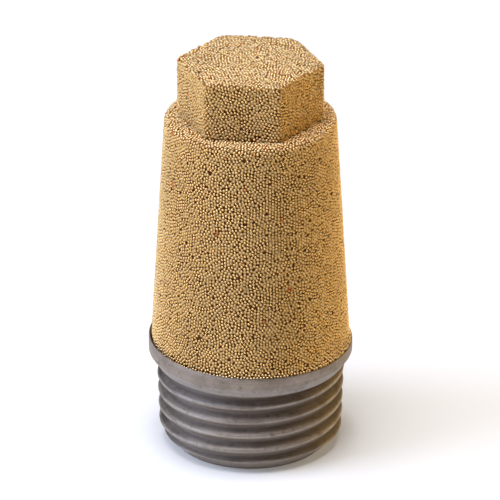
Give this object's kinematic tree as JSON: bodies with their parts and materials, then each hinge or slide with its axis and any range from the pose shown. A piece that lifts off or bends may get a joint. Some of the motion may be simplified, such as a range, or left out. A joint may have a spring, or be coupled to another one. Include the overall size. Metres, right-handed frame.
{
  "type": "pneumatic muffler",
  "caption": "Exhaust muffler for compressed air: a tapered porous bronze cup with a hexagonal head on a male taper pipe thread with a chamfered collar.",
  "frame": {"origin": "middle of the open thread end, which stands on z = 0", "axes": "+Z along the muffler's axis towards the hexagonal head; a wrench flat faces -Y"},
  "size_m": [0.0228, 0.0228, 0.046],
  "materials": {
    "base_metal": "satin turned steel, slightly stained",
    "sintered_bronze": "porous sintered bronze beads, matt with small highlights"
  },
  "bodies": {
    "root": {"threaded_base": "base_metal", "sintered_element": "sintered_bronze"}
  },
  "joints": []
}
